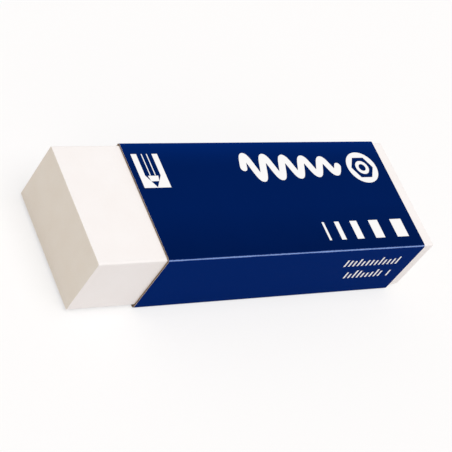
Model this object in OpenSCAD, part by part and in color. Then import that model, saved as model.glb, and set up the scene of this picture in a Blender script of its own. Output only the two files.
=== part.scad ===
// A vinyl eraser block in a folded card sleeve, lying flat on the sleeve's underside.
// X runs along the block, Z is up, and the origin is under the middle of the whole.

/* [Eraser block] */
// Length of the block
block_len = 65; // [52:0.5:90]
// Width of the block
block_w = 21.4; // [14:0.1:30]
// Thickness of the block
block_t = 11.8; // [8:0.1:16]
// Radius of the four long edges, left by the extrusion die
long_edge_r = 0.3; // [0.2:0.05:1]
// Radius of the blunted lower edge at the short bare end
blunt_edge_r = 1.2; // [0.2:0.1:3]

/* [Card sleeve] */
// Length of the sleeve
sleeve_len = 50.9; // [20:0.1:53]
// Length of block left bare at the rubbing end
bare_len = 11.85; // [1:0.05:12]
// Thickness of the card
card_t = 0.28; // [0.2:0.02:0.5]
// Radius on the inside of each fold
crease_r = 0.2; // [0.05:0.05:0.3]
// Clearance between the block and the card on every side
fit_gap = 0.03; // [0.03:0.01:0.15]

/* [Glued lap] */
// Width of the glue flap, measured from the back of the sleeve
flap_w = 9; // [4:0.5:13]
// Distance of the underside panel's free edge from the back of the sleeve
lap_edge_in = 0.8; // [0.5:0.1:2]

/* [Hidden] */
$fn = 48;

// Cut-outs run this far past the solid that they cut
cut_past = 1;

// Colours of the vinyl and of the printed card
vinyl_colour = [0.95, 0.94, 0.92];
ink_colour = [0.01, 0.13, 0.38];

// A bent card keeps its thickness, so the outside radius follows the inside one
fold_r = crease_r + card_t;

// The space inside the sleeve, between front and back panels and from flap to top panel
bay_w = block_w + 2 * fit_gap;
bay_h = block_t + 2 * fit_gap;

// Outside of the sleeve: below the block lie the flap and the underside panel together
sleeve_w = bay_w + 2 * card_t;
sleeve_h = bay_h + 3 * card_t;
front_y = -sleeve_w / 2;
back_y = sleeve_w / 2;

// Ends of the two pieces along the part
block_x = -block_len / 2;
sleeve_x = block_x + bare_len;

// Corner of the block nearest the front panel and the glue flap
block_y = front_y + card_t + fit_gap;
block_z = 2 * card_t + fit_gap;

// What a corner loses when it is rounded: a square with a quarter disc taken out
module corner_waste(r) {
    difference() {
        translate([-cut_past, -cut_past]) square(r + cut_past);
        translate([r, r]) circle(r);
    }
}

// Section of the extruded strip, all four corners rounded alike
module strip_section() {
    difference() {
        square([block_w, block_t]);
        for (my = [0, 1], mz = [0, 1])
            translate([my * block_w, mz * block_t])
                mirror([my, 0]) mirror([0, mz]) corner_waste(long_edge_r);
    }
}

module eraser_block() {
    color(vinyl_colour)
    translate([block_x, block_y, block_z])
    difference() {
        rotate([90, 0, 90]) linear_extrude(block_len) strip_section();
        translate([block_len, block_w + cut_past, 0])
            rotate([90, 0, 0]) linear_extrude(block_w + 2 * cut_past)
                mirror([1, 0]) corner_waste(blunt_edge_r);
    }
}

// One fold of the card through a right angle, round a centre at the inside of the crease
module fold() {
    intersection() {
        difference() {
            circle(fold_r);
            circle(crease_r);
        }
        square(fold_r + cut_past);
    }
}

// The card strip seen from its end, from the underside panel round to the glue flap
module folded_card() {
    // Underside panel, glued over the flap, and the fold up to the front
    translate([front_y + fold_r, 0])
        square([sleeve_w - fold_r - lap_edge_in, card_t]);
    translate([front_y + fold_r, fold_r]) mirror([1, 0]) mirror([0, 1]) fold();
    // Front panel
    translate([front_y, fold_r]) square([card_t, sleeve_h - 2 * fold_r]);
    translate([front_y + fold_r, sleeve_h - fold_r]) mirror([1, 0]) fold();
    // Top panel
    translate([front_y + fold_r, sleeve_h - card_t])
        square([sleeve_w - 2 * fold_r, card_t]);
    translate([back_y - fold_r, sleeve_h - fold_r]) fold();
    // Back panel, which stops one card above the surface
    translate([back_y - card_t, card_t + fold_r])
        square([card_t, sleeve_h - card_t - 2 * fold_r]);
    // Glue flap, turned in under the block
    translate([back_y - fold_r, card_t + fold_r]) mirror([0, 1]) fold();
    translate([back_y - flap_w, card_t]) square([flap_w - fold_r, card_t]);
}

module card_sleeve() {
    color(ink_colour)
    translate([sleeve_x, 0, 0])
        rotate([90, 0, 90]) linear_extrude(sleeve_len) folded_card();
}

eraser_block();
card_sleeve();
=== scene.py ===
# %% [markdown]
# A white vinyl eraser lies in its printed card sleeve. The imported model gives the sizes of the
# block and of the sleeve, and everything below is worked out from those two boxes. The lesson
# builds the block by a rule, folds a card strip along a path, prints it with plain white shapes,
# and then lights and frames it like a product picture.

import math

import bmesh
import bpy
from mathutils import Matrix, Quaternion, Vector
from mathutils.geometry import delaunay_2d_cdt


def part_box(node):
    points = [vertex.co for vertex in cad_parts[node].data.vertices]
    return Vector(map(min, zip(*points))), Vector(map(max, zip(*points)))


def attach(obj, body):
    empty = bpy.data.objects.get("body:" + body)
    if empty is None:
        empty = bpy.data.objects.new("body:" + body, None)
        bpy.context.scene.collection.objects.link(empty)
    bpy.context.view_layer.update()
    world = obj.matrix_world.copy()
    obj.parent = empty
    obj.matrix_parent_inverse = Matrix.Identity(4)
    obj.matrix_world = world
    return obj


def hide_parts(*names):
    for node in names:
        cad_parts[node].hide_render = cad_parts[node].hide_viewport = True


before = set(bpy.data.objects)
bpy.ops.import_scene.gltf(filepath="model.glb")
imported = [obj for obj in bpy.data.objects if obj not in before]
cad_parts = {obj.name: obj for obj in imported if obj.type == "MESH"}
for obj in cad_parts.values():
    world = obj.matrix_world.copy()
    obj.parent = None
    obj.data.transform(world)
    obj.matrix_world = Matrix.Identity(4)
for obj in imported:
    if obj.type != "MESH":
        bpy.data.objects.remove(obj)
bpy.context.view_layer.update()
MM = 0.001
block_lo, block_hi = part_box("eraser_block")
sleeve_lo, sleeve_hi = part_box("card_sleeve")
print("block", [round(x / MM, 2) for x in block_hi - block_lo], "mm")
print("sleeve", [round(x / MM, 2) for x in sleeve_hi - sleeve_lo], "mm")

# %% [markdown]
# Node trees are long to write by hand, so a few small helpers do the typing. One adds a node and
# fills its inputs, one adds a maths node, and one opens a tree with named inputs. They work for
# geometry trees and for shader trees alike. The last two run a geometry tree and show its mesh.

# %% Helpers for node trees
def fill(tree, node, inputs):
    """Sets a node's inputs to sockets or plain values, from a list in order or a dict by name."""
    pairs = inputs.items() if isinstance(inputs, dict) else enumerate(inputs)
    for key, value in pairs:
        if isinstance(value, bpy.types.NodeSocket):
            tree.links.new(value, node.inputs[key])
        else:
            node.inputs[key].default_value = value
    return node


def put(tree, kind, inputs=(), **settings):
    """Adds a node, makes its settings and fills its inputs."""
    made = tree.nodes.new(kind)
    for name, value in settings.items():
        setattr(made, name, value)
    return fill(tree, made, inputs)


def maths(tree, operation, *values):
    """One Math node, and its result."""
    return put(tree, "ShaderNodeMath", values, operation=operation).outputs[0]


def open_tree(name, kind, inputs, outputs):
    """A new node group with named sockets, and its input and output nodes."""
    tree = bpy.data.node_groups.new(name, kind)
    for label, socket_kind, value in inputs:
        socket = tree.interface.new_socket(
            label, in_out="INPUT", socket_type="NodeSocket" + socket_kind)
        if value is not None:
            socket.default_value = value
    for label, socket_kind in outputs:
        tree.interface.new_socket(label, in_out="OUTPUT", socket_type="NodeSocket" + socket_kind)
    return tree, put(tree, "NodeGroupInput").outputs, put(tree, "NodeGroupOutput")


# %% Helpers for meshes
def grow(name, tree, values, start=None):
    """Runs a geometry tree on an object and returns the plain mesh that comes out."""
    holder = bpy.data.objects.new(name, start or bpy.data.meshes.new(name + "_start"))
    bpy.context.scene.collection.objects.link(holder)
    modifier = holder.modifiers.new("rule", "NODES")
    modifier.node_group = tree
    for item in tree.interface.items_tree:
        if item.item_type == "SOCKET" and item.in_out == "INPUT" and item.name in values:
            modifier[item.identifier] = values[item.name]
    graph = bpy.context.evaluated_depsgraph_get()
    mesh = bpy.data.meshes.new_from_object(holder.evaluated_get(graph))
    bpy.data.objects.remove(holder)
    mesh.name = name
    print(name, "has", len(mesh.vertices), "points and", len(mesh.polygons), "faces")
    return mesh


def show(name, mesh):
    """Puts a mesh in the scene as an object at the origin."""
    shown = bpy.data.objects.new(name, mesh)
    bpy.context.scene.collection.objects.link(shown)
    return shown


# %% [markdown]
# Vinyl and card are both plain at a glance, and what makes them look real is small: faint colour
# patches, a fine grain and a soft unevenness that the light picks up. A picture could hold all
# this, but noise stays sharp in a close-up. Each effect is a group that both materials share,
# with its sizes as named inputs.

# %% Groups for colour patches and for grain
PATCH_WEIGHT = 0.75
NOISE_LOW, NOISE_HIGH = 0.35, 0.65


def noise(tree, size, detail):
    """Noise on the object's own coordinates, with patches of about one size."""
    place = put(tree, "ShaderNodeTexCoord").outputs["Object"]
    scale = maths(tree, "DIVIDE", 1.0, size)
    made = put(tree, "ShaderNodeTexNoise", {"Vector": place, "Scale": scale, "Detail": detail})
    return made.outputs[0]


def blend(tree, share, first, second):
    """Two colours mixed by a share."""
    mixed = put(tree, "ShaderNodeMix", {0: share, 6: first, 7: second}, data_type="RGBA")
    return mixed.outputs[2]


def mottle_group():
    """Two close colours mixed by soft patches and by fine specks."""
    tree, given, result = open_tree(
        "Mottle", "ShaderNodeTree",
        [("Colour", "Color", (1, 1, 1, 1)), ("Patch colour", "Color", (1, 1, 1, 1)),
         ("Patch size", "Float", 4 * MM), ("Speck size", "Float", 0.2 * MM),
         ("Amount", "Float", 0.5)],
        [("Colour", "Color")])
    patches = maths(tree, "MULTIPLY", noise(tree, given["Patch size"], 3.0), PATCH_WEIGHT)
    specks = maths(tree, "MULTIPLY", noise(tree, given["Speck size"], 2.0), 1 - PATCH_WEIGHT)
    spread = put(tree, "ShaderNodeMapRange", {
        "Value": maths(tree, "ADD", patches, specks), "From Min": NOISE_LOW, "From Max": NOISE_HIGH})
    share = maths(tree, "MULTIPLY", spread.outputs[0], given["Amount"])
    fill(tree, result, {"Colour": blend(tree, share, given["Colour"], given["Patch colour"])})
    return tree


def grain_group():
    """A fine grain on a soft unevenness, as a normal."""
    tree, given, result = open_tree(
        "Surface grain", "ShaderNodeTree",
        [("Grain size", "Float", 0.1 * MM), ("Grain depth", "Float", 0.01 * MM),
         ("Wave size", "Float", 5 * MM), ("Wave depth", "Float", 0.02 * MM)],
        [("Normal", "Vector"), ("Grain", "Float")])
    grain = noise(tree, given["Grain size"], 4.0)
    waves = noise(tree, given["Wave size"], 1.0)
    height = maths(tree, "ADD", maths(tree, "MULTIPLY", grain, given["Grain depth"]),
                   maths(tree, "MULTIPLY", waves, given["Wave depth"]))
    bump = put(tree, "ShaderNodeBump", {"Strength": 1.0, "Distance": 1.0, "Height": height})
    fill(tree, result, {"Normal": bump.outputs[0], "Grain": grain})
    return tree


MOTTLE = mottle_group()
GRAIN = grain_group()
print("shader groups", MOTTLE.name, "and", GRAIN.name)

# %% [markdown]
# Two more groups belong to the card. The first paints light on the print. The navy is darkest on the
# top panel by the front fold, and painted light makes it lighter towards the back fold and on the
# whole front panel. The board under the print is a stack of a grey back, a brown core and a white
# lining. The strip carries an attribute, "depth", from 0 on its back to 1 on its printed face, so
# that one group can colour the faces and the cut edges alike, with a ragged line where the fibres
# tore.

# %% Group for the painted light on the print
# Where the painted light lies on the print, and how strong it is.
TURN_STARTS, TURN_ENDS = 0.4 * MM, 0.02 * MM
FULL_ENDS, MIDDLE_ENDS, MIDDLE_PAINTED_LIGHT = 0.6 * MM, 9 * MM, 0.3
BACK_STARTS, BACK_CURVE, BACK_PAINTED_LIGHT = 5.5 * MM, 1.7, 0.75


def painted_light_group():
    """Painted light on the print: 1 on the front panel, 0 by the front fold, more by the back fold.
    """
    tree, given, result = open_tree(
        "Painted light on the print", "ShaderNodeTree",
        [("Front face", "Float", -11 * MM), ("Back face", "Float", 11 * MM)], [("Painted light", "Float")])
    place = put(tree, "ShaderNodeTexCoord").outputs["Object"]
    y = put(tree, "ShaderNodeSeparateXYZ", [place]).outputs[1]
    from_front = maths(tree, "SUBTRACT", y, given["Front face"])
    from_back = maths(tree, "SUBTRACT", given["Back face"], y)
    front = put(tree, "ShaderNodeMapRange", {
        "Value": from_front, "From Min": TURN_STARTS, "From Max": TURN_ENDS})
    middle = put(tree, "ShaderNodeMapRange", {
        "Value": from_front, "From Min": FULL_ENDS, "From Max": MIDDLE_ENDS, "To Max": MIDDLE_PAINTED_LIGHT})
    behind = put(tree, "ShaderNodeMapRange", {
        "Value": from_back, "From Min": BACK_STARTS, "From Max": 0.0})
    back = maths(tree, "MULTIPLY", maths(tree, "POWER", behind.outputs[0], BACK_CURVE), BACK_PAINTED_LIGHT)
    top = maths(tree, "ADD", middle.outputs[0], back)
    fill(tree, result, {"Painted light": maths(tree, "MAXIMUM", front.outputs[0], top)})
    return tree


PAINTED_LIGHT = painted_light_group()
print("shader group", PAINTED_LIGHT.name)

# %% Group for the card's layers
FIBRE_SIZE = 0.12 * MM
FIBRE_PULL = 0.12
FIBRE_GREY = 0.5
CORE_STARTS, LINING_STARTS, INK_STARTS = 0.02, 0.85, 0.97


def card_layers_group():
    """The colour of white-lined board at any depth: grey back, brown core, white lining, ink."""
    tree, given, result = open_tree(
        "Card layers", "ShaderNodeTree",
        [("Face colour", "Color", (1, 1, 1, 1)), ("Rubbed and highlight colour", "Color", (1, 1, 1, 1)),
         ("Lining colour", "Color", (1, 1, 1, 1)), ("Core colour", "Color", (1, 1, 1, 1)),
         ("Back colour", "Color", (1, 1, 1, 1)), ("Wear and highlight", "Float", 0.0)],
        [("Colour", "Color"), ("Ink", "Float")])
    depth = put(tree, "ShaderNodeAttribute", attribute_name="depth").outputs["Fac"]
    fibres = noise(tree, FIBRE_SIZE, 3.0)
    pull = maths(tree, "MULTIPLY", maths(tree, "SUBTRACT", fibres, 0.5), FIBRE_PULL)
    in_core = maths(tree, "GREATER_THAN", depth, CORE_STARTS)
    in_lining = maths(tree, "GREATER_THAN", maths(tree, "ADD", depth, pull), LINING_STARTS)
    in_ink = maths(tree, "GREATER_THAN", depth, INK_STARTS)
    grey_share = maths(tree, "MULTIPLY", fibres, FIBRE_GREY)
    pulp = blend(tree, grey_share, given["Core colour"], given["Back colour"])
    colour = blend(tree, in_core, given["Back colour"], pulp)
    colour = blend(tree, in_lining, colour, given["Lining colour"])
    colour = blend(tree, in_ink, colour, given["Face colour"])
    # On the folds the rubbed colour is partly real wear and partly a painted highlight.
    rubbed = maths(tree, "MULTIPLY", in_ink, given["Wear and highlight"])
    colour = blend(tree, rubbed, colour, given["Rubbed and highlight colour"])
    left = maths(tree, "SUBTRACT", 1.0, given["Wear and highlight"])
    fill(tree, result, {"Colour": colour, "Ink": maths(tree, "MULTIPLY", in_ink, left)})
    return tree


CARD_LAYERS = card_layers_group()
print("shader group", CARD_LAYERS.name)


# %% Helpers for materials
def open_material(name):
    """A material with one Principled shader, ready for its own nodes."""
    material = bpy.data.materials.new(name)
    material.use_nodes = True
    return material, material.node_tree, material.node_tree.nodes["Principled BSDF"]


def use_group(tree, group, values):
    """Places a shared group in a material with that material's own values."""
    return put(tree, "ShaderNodeGroup", values, node_tree=group).outputs


# %% [markdown]
# The block is soft white vinyl: warm white all over, a little pinkish on the long faces. Its two
# ends were cut with a blade, so they are blotchier. They are also coloured a shade darker and
# warmer, partly from the duller cut surface and partly as painted shade. The cut ends carry an
# attribute, "cut_end", and the material mixes the second colour in where that is 1. Two materials
# would do it too, but this way the colours fade into each other over the cut edge.

# %% Vinyl
VINYL_WHITE = (0.915, 0.885, 0.872, 1)
VINYL_PATCH = (0.890, 0.848, 0.826, 1)
# The cut ends' colours are darker and warmer, partly from the duller cut surface and partly as
# painted shade.
CUT_WHITE_AND_SHADE = (0.850, 0.790, 0.700, 1)
CUT_PATCH_AND_SHADE = (0.825, 0.755, 0.655, 1)
VINYL_SMOOTHEST, VINYL_ROUGHEST = 0.5, 0.68
VINYL_SPECULAR = 0.3


def vinyl():
    """Matt white vinyl, darker and warmer on the cut ends, partly by painted shade."""
    material, tree, shader = open_material("matt_vinyl")
    skin = use_group(tree, MOTTLE, {
        "Colour": VINYL_WHITE, "Patch colour": VINYL_PATCH, "Patch size": 5 * MM,
        "Speck size": 0.25 * MM, "Amount": 0.6})
    # The cut ends get the darker, warmer colour, which is partly painted shade.
    cut = use_group(tree, MOTTLE, {
        "Colour": CUT_WHITE_AND_SHADE, "Patch colour": CUT_PATCH_AND_SHADE, "Patch size": 3 * MM,
        "Speck size": 0.2 * MM, "Amount": 0.8})
    is_cut = put(tree, "ShaderNodeAttribute", attribute_name="cut_end").outputs["Fac"]
    grain = use_group(tree, GRAIN, {
        "Grain size": 0.12 * MM, "Grain depth": 0.012 * MM, "Wave size": 6 * MM,
        "Wave depth": 0.06 * MM})
    rough = put(tree, "ShaderNodeMapRange", {
        "Value": grain["Grain"], "To Min": VINYL_SMOOTHEST, "To Max": VINYL_ROUGHEST})
    fill(tree, shader, {
        "Base Color": blend(tree, is_cut, skin["Colour"], cut["Colour"]),
        "Roughness": rough.outputs[0], "Normal": grain["Normal"],
        "Specular IOR Level": VINYL_SPECULAR})
    return material


VINYL = vinyl()
print("material", VINYL.name)

# %% [markdown]
# The sleeve is white-lined board, 0.28 mm thick, printed navy on its outside. The white marks are
# places that the ink leaves free, so they are the board's white lining, flush with the ink. Two
# materials share the same layers and differ only in their face colour and gloss. On the folds the
# ink is cracked and rubbed thin. The pale blue line that runs along them is partly this real wear
# and partly a painted highlight. It follows a second attribute, "fold", which is 1 in the middle of
# each bend, and fine noise breaks it up.

# %% Printed card
NAVY_INK = (0.0002, 0.0088, 0.068, 1)
# A lighter navy that serves two purposes: painted light on the front panel and by the back fold, and
# the navy's patch colour.
NAVY_PATCH_AND_PAINTED_LIGHT = (0.0003, 0.0172, 0.138, 1)
# The colour on the folds: partly rubbed ink and partly a painted highlight.
RUBBED_INK_AND_HIGHLIGHT = (0.240, 0.355, 0.700, 1)
LINING_WHITE = (0.930, 0.928, 0.925, 1)
LINING_PATCH = (0.905, 0.902, 0.895, 1)
CORE_BROWN = (0.19, 0.098, 0.038, 1)
BACK_GREY = (0.40, 0.33, 0.24, 1)
SHEEN_BLUE = (0.15, 0.4, 1.0, 1)

CRACK_SIZE, CRACK_SWING = 0.07 * MM, 1.5
HANDLING_SIZE, HANDLING_SWING = 6 * MM, 0.4
# These set where the rubbed ink and the painted highlight lie along the folds.
WORN_FROM, WORN_TO, WORN_MOST = 0.5, 0.75, 0.95
BARE_ROUGHNESS, INK_ROUGHNESS = 0.9, 0.62


def fold_wear_and_highlight(tree):
    """How far the ink is rubbed off and a highlight painted on: fully along the folds, broken up by
    cracks and handling.
    """
    fold = put(tree, "ShaderNodeAttribute", attribute_name="fold").outputs["Fac"]
    cracks = maths(tree, "SUBTRACT", noise(tree, CRACK_SIZE, 3.0), 0.5)
    handling = maths(tree, "SUBTRACT", noise(tree, HANDLING_SIZE, 2.0), 0.5)
    uneven = maths(tree, "ADD", maths(tree, "MULTIPLY", cracks, CRACK_SWING),
                   maths(tree, "MULTIPLY", handling, HANDLING_SWING))
    worn = put(tree, "ShaderNodeMapRange", {
        "Value": maths(tree, "ADD", fold, uneven), "From Min": WORN_FROM, "From Max": WORN_TO,
        "To Max": WORN_MOST})
    return worn.outputs[0]


def card(name, face, patch_and_painted_light_face, patchiness, specular):
    """Board with one face colour, and the same layers and wear as the rest of the sleeve."""
    material, tree, shader = open_material(name)
    # Painted light: the face colour is blended towards the lighter colour on the front panel and
    # towards the back fold, and that same colour serves as the patch colour. On the white print the
    # same mask paints a faint shade.
    ink = use_group(tree, PAINTED_LIGHT, {"Front face": sleeve_lo.y, "Back face": sleeve_hi.y})
    print_colour = use_group(tree, MOTTLE, {
        "Colour": blend(tree, ink["Painted light"], face, patch_and_painted_light_face), "Patch colour": patch_and_painted_light_face,
        "Patch size": 7 * MM, "Speck size": 0.15 * MM, "Amount": patchiness})
    layers = use_group(tree, CARD_LAYERS, {
        "Face colour": print_colour["Colour"], "Rubbed and highlight colour": RUBBED_INK_AND_HIGHLIGHT,
        "Lining colour": LINING_WHITE, "Core colour": CORE_BROWN, "Back colour": BACK_GREY,
        "Wear and highlight": fold_wear_and_highlight(tree)})
    grain = use_group(tree, GRAIN, {
        "Grain size": 0.09 * MM, "Grain depth": 0.006 * MM, "Wave size": 4 * MM,
        "Wave depth": 0.05 * MM})
    rough = put(tree, "ShaderNodeMapRange", {
        "Value": layers["Ink"], "To Min": BARE_ROUGHNESS, "To Max": INK_ROUGHNESS})
    fill(tree, shader, {
        "Base Color": layers["Colour"], "Roughness": rough.outputs[0], "Normal": grain["Normal"],
        "Specular IOR Level": specular, "Specular Tint": SHEEN_BLUE})
    return material


NAVY_CARD = card("navy_printed_card", NAVY_INK, NAVY_PATCH_AND_PAINTED_LIGHT, patchiness=0.06, specular=0.005)
WHITE_CARD = card("bare_white_card", LINING_WHITE, LINING_PATCH, patchiness=0.5, specular=0.1)
print("materials", NAVY_CARD.name, "and", WHITE_CARD.name)

# %% [markdown]
# The block could be a cube with a bevel, but its edges differ: the long ones come rounded from
# the die, the ends are cut almost sharp, and one lower edge is blunt. So it follows a rule. A
# grid of points on a cube is crowded towards the edges, and then each pair of directions is
# rounded by pulling the corner of a square in to a quarter circle. Both steps are small groups
# of nodes, used once for each direction and once for each pair.

# %% Rules for one direction and for one pair
TINY = 1e-9


def crowd_group():
    """Moves a grid coordinate from -1..1 to its real place, with close steps near both edges."""
    tree, given, result = open_tree(
        "Crowd to the edges", "GeometryNodeTree",
        [("Step", "Float", 0.0), ("Half size", "Float", 1.0), ("Zone", "Float", 0.1),
         ("Zone share", "Float", 0.5)],
        [("Place", "Float")])
    side = maths(tree, "SIGN", given["Step"])
    out = maths(tree, "ABSOLUTE", given["Step"])
    in_zone = maths(tree, "DIVIDE", maths(tree, "SUBTRACT", 1.0, out), given["Zone share"])
    from_edge = maths(tree, "MULTIPLY", given["Zone"], maths(tree, "MULTIPLY", in_zone, in_zone))
    near = maths(tree, "SUBTRACT", given["Half size"], from_edge)
    middle = maths(tree, "SUBTRACT", given["Half size"], given["Zone"])
    middle_share = maths(tree, "SUBTRACT", 1.0, given["Zone share"])
    far = maths(tree, "MULTIPLY", middle, maths(tree, "DIVIDE", out, middle_share))
    chosen = put(tree, "GeometryNodeSwitch", {
        "Switch": maths(tree, "LESS_THAN", in_zone, 1.0), "False": far, "True": near},
        input_type="FLOAT")
    fill(tree, result, {"Place": maths(tree, "MULTIPLY", side, chosen.outputs[0])})
    return tree


def round_group():
    """Rounds two coordinates of a box by a radius, pulling the square corner in to a circle."""
    tree, given, result = open_tree(
        "Round two sides", "GeometryNodeTree",
        [("A", "Float", 0.0), ("B", "Float", 0.0), ("Half A", "Float", 1.0),
         ("Half B", "Float", 1.0), ("Radius", "Float", 0.1)],
        [("A", "Float"), ("B", "Float")])
    kept, past = [], []
    for name in "AB":
        limit = maths(tree, "SUBTRACT", given["Half " + name], given["Radius"])
        low = maths(tree, "MAXIMUM", given[name], maths(tree, "MULTIPLY", limit, -1.0))
        inner = maths(tree, "MINIMUM", low, limit)
        kept.append(inner)
        past.append(maths(tree, "SUBTRACT", given[name], inner))
    square = maths(tree, "MAXIMUM", *[maths(tree, "ABSOLUTE", p) for p in past])
    circle = maths(tree, "SQRT", maths(tree, "ADD", *[maths(tree, "MULTIPLY", p, p) for p in past]))
    pull = maths(tree, "DIVIDE", square, maths(tree, "MAXIMUM", circle, TINY))
    for name, inner, over in zip("AB", kept, past):
        fill(tree, result, {name: maths(tree, "ADD", inner, maths(tree, "MULTIPLY", over, pull))})
    return tree


CROWD = crowd_group()
ROUND = round_group()
print("geometry groups", CROWD.name, "and", ROUND.name)

# %% Rule for the whole block
AT_THE_END = 0.999


def block_tree():
    """The whole block: a crowded grid, three roundings, and a mark on the cut ends."""
    tree, given, result = open_tree(
        "Eraser block", "GeometryNodeTree",
        [("Half length", "Float", 1.0), ("Half width", "Float", 1.0),
         ("Half thickness", "Float", 1.0), ("Long edge radius", "Float", 0.1),
         ("Cut edge radius", "Float", 0.1), ("Blunt edge radius", "Float", 0.1),
         ("Centre", "Vector", None), ("Edge steps", "Int", 10), ("Middle steps", "Int", 6),
         ("Material", "Material", None)],
        [("Geometry", "Geometry")])
    half_steps = maths(tree, "ADD", given["Edge steps"], given["Middle steps"])
    count = maths(tree, "ADD", maths(tree, "MULTIPLY", half_steps, 2.0), 1.0)
    share = maths(tree, "DIVIDE", given["Edge steps"], half_steps)
    cube = put(tree, "GeometryNodeMeshCube", {
        "Size": (2, 2, 2), "Vertices X": count, "Vertices Y": count, "Vertices Z": count})
    start = put(tree, "GeometryNodeInputPosition").outputs[0]
    steps = put(tree, "ShaderNodeSeparateXYZ", [start]).outputs
    halves = [given["Half length"], given["Half width"], given["Half thickness"]]
    places = []
    for step, half in zip(steps, halves):
        crowded = put(tree, "GeometryNodeGroup", {
            "Step": step, "Half size": half, "Zone": given["Blunt edge radius"],
            "Zone share": share}, node_tree=CROWD)
        places.append(crowded.outputs[0])
    at_end = maths(tree, "GREATER_THAN", maths(tree, "ABSOLUTE", steps[0]), AT_THE_END)
    is_blunt = maths(tree, "MULTIPLY", maths(tree, "GREATER_THAN", steps[0], 0.0),
                     maths(tree, "LESS_THAN", steps[2], 0.0))
    end_radius = put(tree, "GeometryNodeSwitch", {
        "Switch": is_blunt, "False": given["Cut edge radius"], "True": given["Blunt edge radius"]},
        input_type="FLOAT").outputs[0]
    roundings = ((1, 2, given["Long edge radius"]), (0, 2, end_radius),
                 (0, 1, given["Cut edge radius"]))
    for a, b, radius in roundings:
        pair = put(tree, "GeometryNodeGroup", {
            "A": places[a], "B": places[b], "Half A": halves[a], "Half B": halves[b],
            "Radius": radius}, node_tree=ROUND)
        places[a], places[b] = pair.outputs["A"], pair.outputs["B"]
    place = put(tree, "ShaderNodeCombineXYZ", places).outputs[0]
    moved = put(tree, "ShaderNodeVectorMath", [place, given["Centre"]], operation="ADD").outputs[0]
    marked = put(tree, "GeometryNodeStoreNamedAttribute", {
        "Geometry": cube.outputs["Mesh"], "Name": "cut_end", "Value": at_end},
        data_type="FLOAT", domain="POINT")
    shaped = put(tree, "GeometryNodeSetPosition", {
        "Geometry": marked.outputs[0], "Position": moved})
    smooth = put(tree, "GeometryNodeSetShadeSmooth", {"Geometry": shaped.outputs[0]})
    whole = put(tree, "GeometryNodeRealizeInstances", [smooth.outputs[0]])
    dressed = put(tree, "GeometryNodeSetMaterial", {
        "Geometry": whole.outputs[0], "Material": given["Material"]})
    fill(tree, result, [dressed.outputs[0]])
    return tree


BLOCK = block_tree()
print(BLOCK.name, "tree has", len(BLOCK.nodes), "nodes")

# %% [markdown]
# The rule only needs the block's size and its three radii, which are those of the real edges.
# The cut edges get a trace of softness, because a blade never leaves vinyl quite sharp, and the
# light then catches them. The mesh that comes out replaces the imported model's block.

# %% Make the block
LONG_EDGE_R = 0.3 * MM
CUT_EDGE_R = 0.12 * MM
BLUNT_EDGE_R = 1.2 * MM

block_half = (block_hi - block_lo) / 2
block_mesh = grow("eraser_block_vinyl", BLOCK, {
    "Half length": block_half.x, "Half width": block_half.y, "Half thickness": block_half.z,
    "Long edge radius": LONG_EDGE_R, "Cut edge radius": CUT_EDGE_R,
    "Blunt edge radius": BLUNT_EDGE_R, "Centre": tuple((block_hi + block_lo) / 2),
    "Edge steps": 10, "Middle steps": 6, "Material": VINYL})
block = show("eraser_block_vinyl", block_mesh)
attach(block, "block")
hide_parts("eraser_block")

# %% [markdown]
# The sleeve is one strip of card, folded four times and glued to itself under the block. It could
# be a box with the ends taken off, but then the bends, the lap and the cut edges would be lost.
# Here it is made as the real one is. A path runs round the block at half the card's depth, its
# corners are filleted to the bend, and the strip's thin section is swept along it. The section
# stores how deep each point lies in the card, so that the cut edges can show the board's layers.

# %% Rule for the folded strip
MID_BEND = math.sqrt(0.5)


def strip_tree():
    """A card strip along a path with filleted corners, marked with its depth and its folds."""
    tree, given, result = open_tree(
        "Folded card strip", "GeometryNodeTree",
        [("Geometry", "Geometry", None), ("Strip length", "Float", 1.0),
         ("Card thickness", "Float", 0.1), ("Bend radius", "Float", 0.1),
         ("Bend steps", "Int", 8), ("Material", "Material", None)],
        [("Geometry", "Geometry")])
    path = put(tree, "GeometryNodeMeshToCurve", [given["Geometry"]])
    bent = put(tree, "GeometryNodeFilletCurve", {
        "Curve": path.outputs[0], "Radius": given["Bend radius"], "Count": given["Bend steps"]},
        mode="POLY")
    along = put(tree, "GeometryNodeInputTangent").outputs[0]
    tangent = put(tree, "ShaderNodeVectorMath", [along], operation="ABSOLUTE").outputs[0]
    shares = put(tree, "ShaderNodeSeparateXYZ", [tangent]).outputs
    straight = maths(tree, "MAXIMUM", shares[1], shares[2])
    fold = put(tree, "ShaderNodeMapRange", {
        "Value": straight, "From Min": 1.0, "From Max": MID_BEND})
    creased = put(tree, "GeometryNodeStoreNamedAttribute", {
        "Geometry": bent.outputs[0], "Name": "fold", "Value": fold.outputs[0]},
        data_type="FLOAT", domain="POINT")
    section = put(tree, "GeometryNodeCurvePrimitiveQuadrilateral", {
        "Width": given["Strip length"], "Height": given["Card thickness"]}, mode="RECTANGLE")
    corner = put(tree, "GeometryNodeInputPosition").outputs[0]
    across = put(tree, "ShaderNodeSeparateXYZ", [corner]).outputs[1]
    outer = maths(tree, "GREATER_THAN", across, 0.0)
    layered = put(tree, "GeometryNodeStoreNamedAttribute", {
        "Geometry": section.outputs[0], "Name": "depth", "Value": outer},
        data_type="FLOAT", domain="POINT")
    swept = put(tree, "GeometryNodeCurveToMesh", {
        "Curve": creased.outputs[0], "Profile Curve": layered.outputs[0], "Fill Caps": True})
    whole = put(tree, "GeometryNodeRealizeInstances", [swept.outputs[0]])
    dressed = put(tree, "GeometryNodeSetMaterial", {
        "Geometry": whole.outputs[0], "Material": given["Material"]})
    fill(tree, result, [dressed.outputs[0]])
    return tree


STRIP = strip_tree()
print(STRIP.name, "tree has", len(STRIP.nodes), "nodes")

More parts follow.
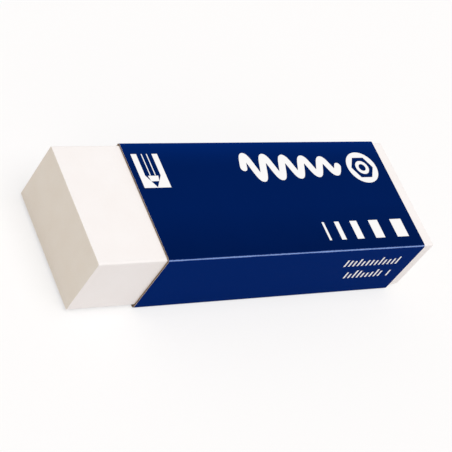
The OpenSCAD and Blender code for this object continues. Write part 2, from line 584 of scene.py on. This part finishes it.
# %% [markdown]
# The path starts at the free edge of the underside panel, which stops just short of the back. It
# goes round the front, the top and the back, and ends with the glue flap. The flap lies on the
# underside panel, with a film of glue between them, so the back panel stops one card higher up.

# %% Fold the strip
CARD_T = 0.28 * MM
CREASE_R = 0.2 * MM
FLAP_W = 9 * MM
LAP_EDGE_IN = 0.8 * MM
GLUE_T = 0.01 * MM

half_t = CARD_T / 2
middle_x = (sleeve_lo.x + sleeve_hi.x) / 2
flap_z = CARD_T + GLUE_T + half_t
fold_path = [
    (sleeve_hi.y - LAP_EDGE_IN, half_t),
    (sleeve_lo.y + half_t, half_t),
    (sleeve_lo.y + half_t, sleeve_hi.z - half_t),
    (sleeve_hi.y - half_t, sleeve_hi.z - half_t),
    (sleeve_hi.y - half_t, flap_z),
    (sleeve_hi.y - FLAP_W, flap_z),
]
path_mesh = bpy.data.meshes.new("fold_path")
path_mesh.from_pydata([(middle_x, y, z) for y, z in fold_path],
                      [(i, i + 1) for i in range(len(fold_path) - 1)], [])
strip_mesh = grow("card_sleeve_strip", STRIP, {
    "Strip length": sleeve_hi.x - sleeve_lo.x, "Card thickness": CARD_T,
    "Bend radius": CREASE_R + half_t, "Bend steps": 8, "Material": NAVY_CARD}, path_mesh)
for mark in ("depth", "fold"):
    values = [d.value for d in strip_mesh.attributes[mark].data]
    print(mark, "runs from", round(min(values), 3), "to", round(max(values), 3))

# %% [markdown]
# The print is flat, so it is drawn as flat shapes in millimetres on each panel: x along the
# sleeve from its left edge, y up from the panel's lower edge. A path or a repeat is grown by a
# tree, and a plain figure is a few points. The wavy line is a ribbon of one width that is swept
# along a sine, with a dot on each tip to round it off.

# %% Rule for the wavy line
ROUND_END_CORNERS = 24


def wave_tree():
    """A ribbon along a sine whose swing dies down from left to right, with round ends."""
    tree, given, result = open_tree(
        "Wavy line", "GeometryNodeTree",
        [("Length", "Float", 20.0), ("Swing at start", "Float", 2.0),
         ("Swing at end", "Float", 1.0), ("Waves", "Float", 5.0), ("Line width", "Float", 1.0),
         ("Points", "Int", 100), ("Material", "Material", None)],
        [("Geometry", "Geometry")])
    end = put(tree, "ShaderNodeCombineXYZ", [given["Length"], 0.0, 0.0]).outputs[0]
    line = put(tree, "GeometryNodeCurvePrimitiveLine", {"End": end})
    fine = put(tree, "GeometryNodeResampleCurve", {
        "Curve": line.outputs[0], "Count": given["Points"]})
    along = put(tree, "GeometryNodeSplineParameter").outputs["Factor"]
    swing = put(tree, "ShaderNodeMapRange", {
        "Value": along, "To Min": given["Swing at start"], "To Max": given["Swing at end"]})
    turns = maths(tree, "MULTIPLY", maths(tree, "MULTIPLY", along, given["Waves"]), 2 * math.pi)
    rise = maths(tree, "MULTIPLY", maths(tree, "SINE", turns), swing.outputs[0])
    offset = put(tree, "ShaderNodeCombineXYZ", [0.0, rise, 0.0]).outputs[0]
    waved = put(tree, "GeometryNodeSetPosition", {"Geometry": fine.outputs[0], "Offset": offset})
    half = maths(tree, "MULTIPLY", given["Line width"], 0.5)
    minus_half = maths(tree, "MULTIPLY", half, -1.0)
    nib = put(tree, "GeometryNodeCurvePrimitiveLine", {
        "Start": put(tree, "ShaderNodeCombineXYZ", [half, 0.0, 0.0]).outputs[0],
        "End": put(tree, "ShaderNodeCombineXYZ", [minus_half, 0.0, 0.0]).outputs[0]})
    ribbon = put(tree, "GeometryNodeCurveToMesh", {
        "Curve": waved.outputs[0], "Profile Curve": nib.outputs[0]})
    tips = put(tree, "GeometryNodeCurveEndpointSelection").outputs[0]
    dot = put(tree, "GeometryNodeMeshCircle", {
        "Vertices": ROUND_END_CORNERS, "Radius": half}, fill_type="NGON")
    dots = put(tree, "GeometryNodeInstanceOnPoints", {
        "Points": waved.outputs[0], "Selection": tips, "Instance": dot.outputs[0]})
    both = put(tree, "GeometryNodeJoinGeometry")
    tree.links.new(dots.outputs[0], both.inputs[0])
    tree.links.new(ribbon.outputs[0], both.inputs[0])
    whole = put(tree, "GeometryNodeRealizeInstances", [both.outputs[0]])
    dressed = put(tree, "GeometryNodeSetMaterial", {
        "Geometry": whole.outputs[0], "Material": given["Material"]})
    fill(tree, result, [dressed.outputs[0]])
    return tree


WAVE = wave_tree()
print(WAVE.name, "tree has", len(WAVE.nodes), "nodes")

# %% [markdown]
# One more rule serves both the five bars and the rows of short strokes: a line of points, and a
# square on each that is stretched to the stroke's width and height. The steps and the widths may
# grow along the row. In the short strokes the heights vary and a few are left out, by chance with
# a fixed seed, and the whole row leans.

# %% Rule for a row of strokes
def strokes_tree():
    """A row of slanted strokes. Their width may grow, and a share of them may be left out."""
    tree, given, result = open_tree(
        "Row of strokes", "GeometryNodeTree",
        [("Strokes", "Int", 5), ("Pitch", "Float", 2.0), ("Pitch growth", "Float", 0.0),
         ("Stroke width", "Float", 0.3), ("Width growth", "Float", 0.0), ("Height", "Float", 4.0),
         ("Height spread", "Float", 0.0), ("Slant", "Float", 0.2), ("Left out", "Float", 0.0),
         ("Seed", "Int", 1), ("Material", "Material", None)],
        [("Geometry", "Geometry")])
    row = put(tree, "GeometryNodeMeshLine", {
        "Count": given["Strokes"], "Offset": (0.0, 0.0, 0.0)}, mode="OFFSET")
    number = put(tree, "GeometryNodeInputIndex").outputs[0]
    grown = maths(tree, "MULTIPLY", maths(tree, "MULTIPLY", number, number),
                  maths(tree, "MULTIPLY", given["Pitch growth"], 0.5))
    along = maths(tree, "ADD", maths(tree, "MULTIPLY", number, given["Pitch"]), grown)
    spot = put(tree, "ShaderNodeCombineXYZ", [along, 0.0, 0.0]).outputs[0]
    spaced = put(tree, "GeometryNodeSetPosition", {"Geometry": row.outputs[0], "Position": spot})
    chance = put(tree, "FunctionNodeRandomValue", {
        "Seed": given["Seed"]}, data_type="FLOAT").outputs[1]
    kept = maths(tree, "GREATER_THAN", chance, given["Left out"])
    tall = put(tree, "FunctionNodeRandomValue", {
        "Seed": maths(tree, "ADD", given["Seed"], 1.0)}, data_type="FLOAT").outputs[1]
    extra = maths(tree, "MULTIPLY", tall, given["Height spread"])
    height = maths(tree, "ADD", given["Height"], extra)
    wider = maths(tree, "MULTIPLY", number, given["Width growth"])
    width = maths(tree, "ADD", given["Stroke width"], wider)
    size = put(tree, "ShaderNodeCombineXYZ", [width, height, 1.0]).outputs[0]
    stroke = put(tree, "GeometryNodeMeshGrid", {
        "Size X": 1.0, "Size Y": 1.0, "Vertices X": 2, "Vertices Y": 2})
    lifted = put(tree, "GeometryNodeSetPosition", {
        "Geometry": stroke.outputs[0], "Offset": (0.5, 0.5, 0.0)})
    copies = put(tree, "GeometryNodeInstanceOnPoints", {
        "Points": spaced.outputs[0], "Selection": kept, "Instance": lifted.outputs[0],
        "Scale": size})
    whole = put(tree, "GeometryNodeRealizeInstances", [copies.outputs[0]])
    place = put(tree, "GeometryNodeInputPosition").outputs[0]
    up = put(tree, "ShaderNodeSeparateXYZ", [place]).outputs[1]
    shift = maths(tree, "MULTIPLY", up, given["Slant"])
    lean = put(tree, "ShaderNodeCombineXYZ", [shift, 0.0, 0.0]).outputs[0]
    leaning = put(tree, "GeometryNodeSetPosition", {"Geometry": whole.outputs[0], "Offset": lean})
    dressed = put(tree, "GeometryNodeSetMaterial", {
        "Geometry": leaning.outputs[0], "Material": given["Material"]})
    fill(tree, result, [dressed.outputs[0]])
    return tree


STROKES = strokes_tree()
print(STROKES.name, "tree has", len(STROKES.nodes), "nodes")

# %% [markdown]
# All shapes end up as outlines, which are plain lists of points. A grown mesh gives one outline
# for each of its triangles, since overlapping quads could cross themselves. The cut that comes
# later takes an outline for a hole if it runs clockwise, so each one is turned the same way.

# %% Helpers for flat outlines
SMALLEST_AREA = 1e-6


def outlines(mesh, x, y):
    """The triangles of a flat mesh as lists of points, moved to a place on a panel."""
    points = [(v.co.x + x, v.co.y + y) for v in mesh.vertices]
    mesh.calc_loop_triangles()
    parts = [part for part in mesh.loop_triangles if part.area > SMALLEST_AREA]
    return [[points[i] for i in part.vertices] for part in parts]


def anticlockwise(outline):
    """The same outline, turned round if it runs clockwise."""
    pairs = zip(outline, outline[1:] + outline[:1])
    twice_area = sum(a[0] * b[1] - b[0] * a[1] for a, b in pairs)
    return outline if twice_area > 0 else outline[::-1]


def box_outline(x0, y0, x1, y1):
    """A rectangle between two corners."""
    return [(x0, y0), (x1, y0), (x1, y1), (x0, y1)]


def ring_outline(x, y, radius, corners):
    """A regular polygon round a centre, which passes for a circle when it has many corners."""
    angles = [2 * math.pi * i / corners for i in range(corners)]
    return [(x + radius * math.cos(a), y + radius * math.sin(a)) for a in angles]


# %% [markdown]
# A pencil stands for the use of the eraser: a white panel with a navy pencil that points down.
# All its lengths are shares of the panel, so it can be printed at any size. Later outlines lie
# over earlier ones, and each says whether it is white or navy.

# %% Pencil figure
PENCIL_HALF, LINE_W, RIM_W = 0.29, 0.035, 0.06
SHOULDER_AT, WOOD_AT, TIP_AT = 0.36, 0.19, 0.01
WOOD_IN, WOOD_DROP = 1.6, 0.2


def pencil_figure(x, y, width, height):
    """A white panel with a navy pencil, as (outline, is white) pairs."""
    middle = x + width / 2
    half, line, rim = width * PENCIL_HALF, width * LINE_W, width * RIM_W
    shoulder, wood, tip = [y + height * share for share in (SHOULDER_AT, WOOD_AT, TIP_AT)]
    left, right = middle - half, middle + half
    lead = half * (wood - tip) / (shoulder - tip)
    wood_top = shoulder - rim * WOOD_DROP
    figure = [
        (box_outline(x, y, x + width, y + height), True),
        (box_outline(left, shoulder, right, y + height), False),
        ([(left, shoulder), (middle, tip), (right, shoulder)], False),
        ([(left + rim * WOOD_IN, wood_top), (middle - lead, wood), (middle + lead, wood),
          (right - rim * WOOD_IN, wood_top)], True),
    ]
    for side in (-1, 1):
        at = middle + side * half / 3
        figure.append((box_outline(at - line / 2, shoulder, at + line / 2, y + height), True))
    return figure


PENCIL_PLACE, PENCIL_SIZE = (1.15, 13.3), (4.85, 6.4)
TOP_PRINT = pencil_figure(*PENCIL_PLACE, *PENCIL_SIZE)
print("pencil figure has", len(TOP_PRINT), "outlines")

# %% [markdown]
# The rest of the top panel is a bold wavy line, a disc with the six-sided end of a pencil in it,
# and five bars that grow like line weights. They are plain shapes that suit a thing for drawing.
# The front panel gets two rows of short strokes, fine and low, near its right end.

# %% Lay out the top panel
WAVE_PLACE = (21.3, 16.7)
DISC_PLACE = (45.85, 16.3)
DISC_R, PENCIL_END_R, WOOD_R, LEAD_R = 3.15, 2.35, 1.35, 0.7
BARS_PLACE = (31.6, 2.15)

wave = grow("wave", WAVE, {
    "Length": 19.4, "Swing at start": 2.35, "Swing at end": 1.25, "Waves": 5.0,
    "Line width": 1.3, "Points": 320, "Material": WHITE_CARD})
TOP_PRINT += [(outline, True) for outline in outlines(wave, *WAVE_PLACE)]
TOP_PRINT += [
    (ring_outline(*DISC_PLACE, DISC_R, 64), True),
    (ring_outline(*DISC_PLACE, PENCIL_END_R, 6), False),
    (ring_outline(*DISC_PLACE, WOOD_R, 40), True),
    (ring_outline(*DISC_PLACE, LEAD_R, 28), False),
]
bars = grow("bars", STROKES, {
    "Strokes": 5, "Pitch": 2.2, "Pitch growth": 0.7, "Stroke width": 0.45, "Width growth": 0.5,
    "Height": 3.5, "Slant": 0.0, "Material": WHITE_CARD})
TOP_PRINT += [(outline, True) for outline in outlines(bars, *BARS_PLACE)]
print("top panel has", len(TOP_PRINT), "outlines")


# %% Lay out the front panel
def small_print(seed, strokes, x, y):
    """A row of short leaning strokes of uneven height, as (outline, is white) pairs."""
    row = grow("small_print", STROKES, {
        "Strokes": strokes, "Pitch": 0.92, "Stroke width": 0.36, "Height": 1.2,
        "Height spread": 1.0, "Slant": -0.05, "Left out": 0.1, "Seed": seed,
        "Material": WHITE_CARD})
    return [(outline, True) for outline in outlines(row, x, y)]


FRONT_PRINT = small_print(seed=5, strokes=13, x=36.4, y=7.9)
FRONT_PRINT += small_print(seed=8, strokes=11, x=38.6, y=4.4)
print("front panel has", len(FRONT_PRINT), "outlines")

# %% [markdown]
# Print has no thickness, so it must not stand on the card. Each panel is one flat face of the
# folded strip. That face is cut up along the outlines, and each part gets the navy or the white
# material. The cut is a Delaunay triangulation that keeps the outlines as edges, so the shapes
# stay crisp at any size, and the new faces use the panel's own four corners, so no seam opens.
# Where shapes overlap, the cut leaves thousands of slivers. So parts of one colour are merged
# again, and what is left is divided into well-shaped triangles.

# %% Cut a flat face up along outlines
CUT_TOLERANCE = 1e-5
CLOSE_POINTS = 0.001 * MM
MERGE_ANGLE = math.radians(1.0)
FACING = 0.999


def cut_panel(body, face, corner, right, up, shapes):
    """Replaces a face by parts with the navy or the white material. Returns points and parts."""
    depth = body.verts.layers.float["depth"]
    corners = list(face.verts)
    places = [((v.co - corner).dot(right) / MM, (v.co - corner).dot(up) / MM) for v in corners]
    if anticlockwise(places) != places:
        corners.reverse()
        places.reverse()
    points = [Vector(p) for p in places]
    loops = [list(range(len(points)))]
    for outline, _ in shapes:
        loops.append([len(points) + i for i in range(len(outline))])
        points += [Vector(p) for p in anticlockwise(outline)]
    flat, _, parts, sources, _, owners = delaunay_2d_cdt(
        points, [], loops, 1, CUT_TOLERANCE, True)
    normal = face.normal.copy()
    body.faces.remove(face)
    verts = []
    for place, source in zip(flat, sources):
        own = [i for i in source if i < len(corners)]
        if own:
            verts.append(corners[own[0]])
            continue
        new = body.verts.new(corner + right * place.x * MM + up * place.y * MM)
        new[depth] = 1.0
        verts.append(new)
    panel = []
    for part, owner in zip(parts, owners):
        made = body.faces.new([verts[i] for i in part])
        made.normal_update()
        if made.normal.dot(normal) < 0:
            made.normal_flip()
        top = max(owner)
        made.material_index = 1 if top > 0 and shapes[top - 1][1] else 0
        panel.append(made)
    return [v for v in verts if v not in corners], panel


def merge_panel(body, verts, panel):
    """Merges close points and neighbouring parts of one material, and divides the rest up."""
    bmesh.ops.remove_doubles(body, verts=verts, dist=CLOSE_POINTS)
    verts = [v for v in verts if v.is_valid]
    on_panel = {f for f in panel if f.is_valid}
    inner = dict.fromkeys(
        e for f in panel if f.is_valid for e in f.edges if on_panel.issuperset(e.link_faces))
    merged = bmesh.ops.dissolve_limit(
        body, angle_limit=MERGE_ANGLE, verts=verts, edges=list(inner), delimit={"MATERIAL"})
    parts = bmesh.ops.triangulate(body, faces=merged["region"], ngon_method="BEAUTY")["faces"]
    white = sum(f.material_index for f in parts)
    print("panel cut into", len(panel), "parts, merged to", len(parts), "of which", white, "white")


def find_panel(body, normal):
    """The largest face that looks along a direction, furthest out."""
    facing = [f for f in body.faces if f.normal.dot(normal) > FACING]
    return max(facing, key=lambda f: (round(f.calc_center_median().dot(normal), 6), f.calc_area()))


# %% Print the sleeve
SHARP_ANGLE = math.radians(40)
X, Y, Z = Vector((1, 0, 0)), Vector((0, 1, 0)), Vector((0, 0, 1))
top_corner = Vector((sleeve_lo.x, sleeve_lo.y, sleeve_hi.z))
front_corner = Vector((sleeve_lo.x, sleeve_lo.y, sleeve_lo.z))

strip_mesh.materials.append(WHITE_CARD)
body = bmesh.new()
body.from_mesh(strip_mesh)
bmesh.ops.recalc_face_normals(body, faces=body.faces)
merge_panel(body, *cut_panel(body, find_panel(body, Z), top_corner, X, Y, TOP_PRINT))
merge_panel(body, *cut_panel(body, find_panel(body, -Y), front_corner, X, Z, FRONT_PRINT))
for face in body.faces:
    face.smooth = True
open_edges = [e for e in body.edges if len(e.link_faces) != 2]
body.to_mesh(strip_mesh)
body.free()
strip_mesh.set_sharp_from_angle(angle=SHARP_ANGLE)
print("sleeve has", len(strip_mesh.polygons), "faces and", len(open_edges), "open edges")

# %% [markdown]
# The bends are smooth shaded and the panels are flat. Weighted normals let the broad panels set
# the shading where they meet a bend, so that no panel looks pillowed. The sleeve then replaces
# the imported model's sleeve and slides with it.

# %% Put the sleeve in place
sleeve = show("card_sleeve_printed", strip_mesh)
even = sleeve.modifiers.new("even_shading", "WEIGHTED_NORMAL")
even.keep_sharp = True
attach(sleeve, "sleeve")
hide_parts("card_sleeve")

# %% [markdown]
# The picture is taken from the front left and above, with the camera rolled, so that the eraser
# seems to hang level in the frame. The angles, the distance and the lens were solved from the
# edges of the block and of the sleeve in the photograph.

# %% Camera
AZIMUTH, ELEVATION, ROLL = math.radians(-52.69), math.radians(41.98), math.radians(38.67)
DISTANCE = 259.3 * MM
LENS = 130.64
AIM = Vector((-2.12, -0.90, 6.25)) * MM
NEAREST, FURTHEST = 0.01, 20

back = Vector((math.sin(AZIMUTH) * math.cos(ELEVATION), -math.cos(AZIMUTH) * math.cos(ELEVATION),
               math.sin(ELEVATION)))
camera_data = bpy.data.cameras.new("camera")
camera_data.lens = LENS
camera_data.clip_start = NEAREST
camera_data.clip_end = FURTHEST
camera = bpy.data.objects.new("camera", camera_data)
camera.rotation_mode = "QUATERNION"
camera.location = AIM + back * DISTANCE
camera.rotation_quaternion = back.to_track_quat("Z", "Y") @ Quaternion((0, 0, 1), ROLL)
bpy.context.scene.collection.objects.link(camera)
bpy.context.scene.camera = camera
print("camera at", [round(c / MM, 1) for c in camera.location], "mm")

# %% [markdown]
# The floor is plain and pale, a hair below the sleeve. A floor that is only pale would look grey
# in the picture, and one that only glows white would lose the shadow. So it mixes the two for
# the camera's rays alone: the shadow stays but is faint, and the light that the floor throws
# back on the object is that of a plain pale floor.

# %% Floor
FLOOR_SIZE = 4.0
GAP = 0.02 * MM
FLOOR_COLOUR = (0.925, 0.905, 0.895, 1)
FLOOR_ROUGHNESS = 0.9
WHITE_TO_THE_EYE = 0.6


def floor_material():
    """Pale to the light, and partly plain white to the eye."""
    material, tree, shader = open_material("pale_floor")
    fill(tree, shader, {
        "Base Color": FLOOR_COLOUR, "Roughness": FLOOR_ROUGHNESS, "Specular IOR Level": 0.0})
    rays = put(tree, "ShaderNodeLightPath")
    share = maths(tree, "MULTIPLY", rays.outputs["Is Camera Ray"], WHITE_TO_THE_EYE)
    white = put(tree, "ShaderNodeEmission", {"Color": (1, 1, 1, 1), "Strength": 1.0})
    both = put(tree, "ShaderNodeMixShader", [share, shader.outputs[0], white.outputs[0]])
    tree.links.new(both.outputs[0], tree.nodes["Material Output"].inputs["Surface"])
    return material


far = FLOOR_SIZE / 2
floor_mesh = bpy.data.meshes.new("floor")
floor_mesh.from_pydata([(x, y, -GAP) for x, y in box_outline(-far, -far, far, far)],
                       [], [(0, 1, 2, 3)])
floor_mesh.materials.append(floor_material())
floor = show("floor", floor_mesh)
print("floor", FLOOR_SIZE, "m wide")

# %% [markdown]
# The world lights the object softly from all round, a little warm, and looks white to the eye
# and in reflections. One wide lamp overhead, a little to the front, makes the top the brightest
# face. It is a sun lamp, because that lights the floor as evenly as it lights the object.

# %% World and lamp
AMBIENT = 0.48
AMBIENT_TINT = (1.0, 0.965, 0.95, 1)
PLAIN_WHITE = (1, 1, 1, 1)
LAMP_TOWARDS = Vector((0.03, -0.24, 1.0))
LAMP_SPREAD = math.radians(50)
LAMP_STRENGTH = 1.88

world = bpy.data.worlds.new("studio")
bpy.context.scene.world = world
world.use_nodes = True
sky = world.node_tree
rays = put(sky, "ShaderNodeLightPath").outputs
mirrored = maths(sky, "MAXIMUM", rays["Is Glossy Ray"], rays["Is Transmission Ray"])
seen = maths(sky, "MAXIMUM", rays["Is Camera Ray"], mirrored)
strength = put(sky, "ShaderNodeMapRange", {"Value": seen, "To Min": AMBIENT, "To Max": 1.0})
fill(sky, sky.nodes["Background"], {
    "Strength": strength.outputs[0], "Color": blend(sky, seen, AMBIENT_TINT, PLAIN_WHITE)})

lamp_data = bpy.data.lights.new("overhead", "SUN")
lamp_data.angle = LAMP_SPREAD
lamp_data.energy = LAMP_STRENGTH
lamp = bpy.data.objects.new("overhead", lamp_data)
lamp.rotation_mode = "QUATERNION"
lamp.rotation_quaternion = LAMP_TOWARDS.to_track_quat("Z", "Y")
bpy.context.scene.collection.objects.link(lamp)
view = bpy.context.scene.view_settings
view.view_transform = "Standard"
print("ambient light", AMBIENT, "and lamp", LAMP_STRENGTH, "seen through", view.view_transform)
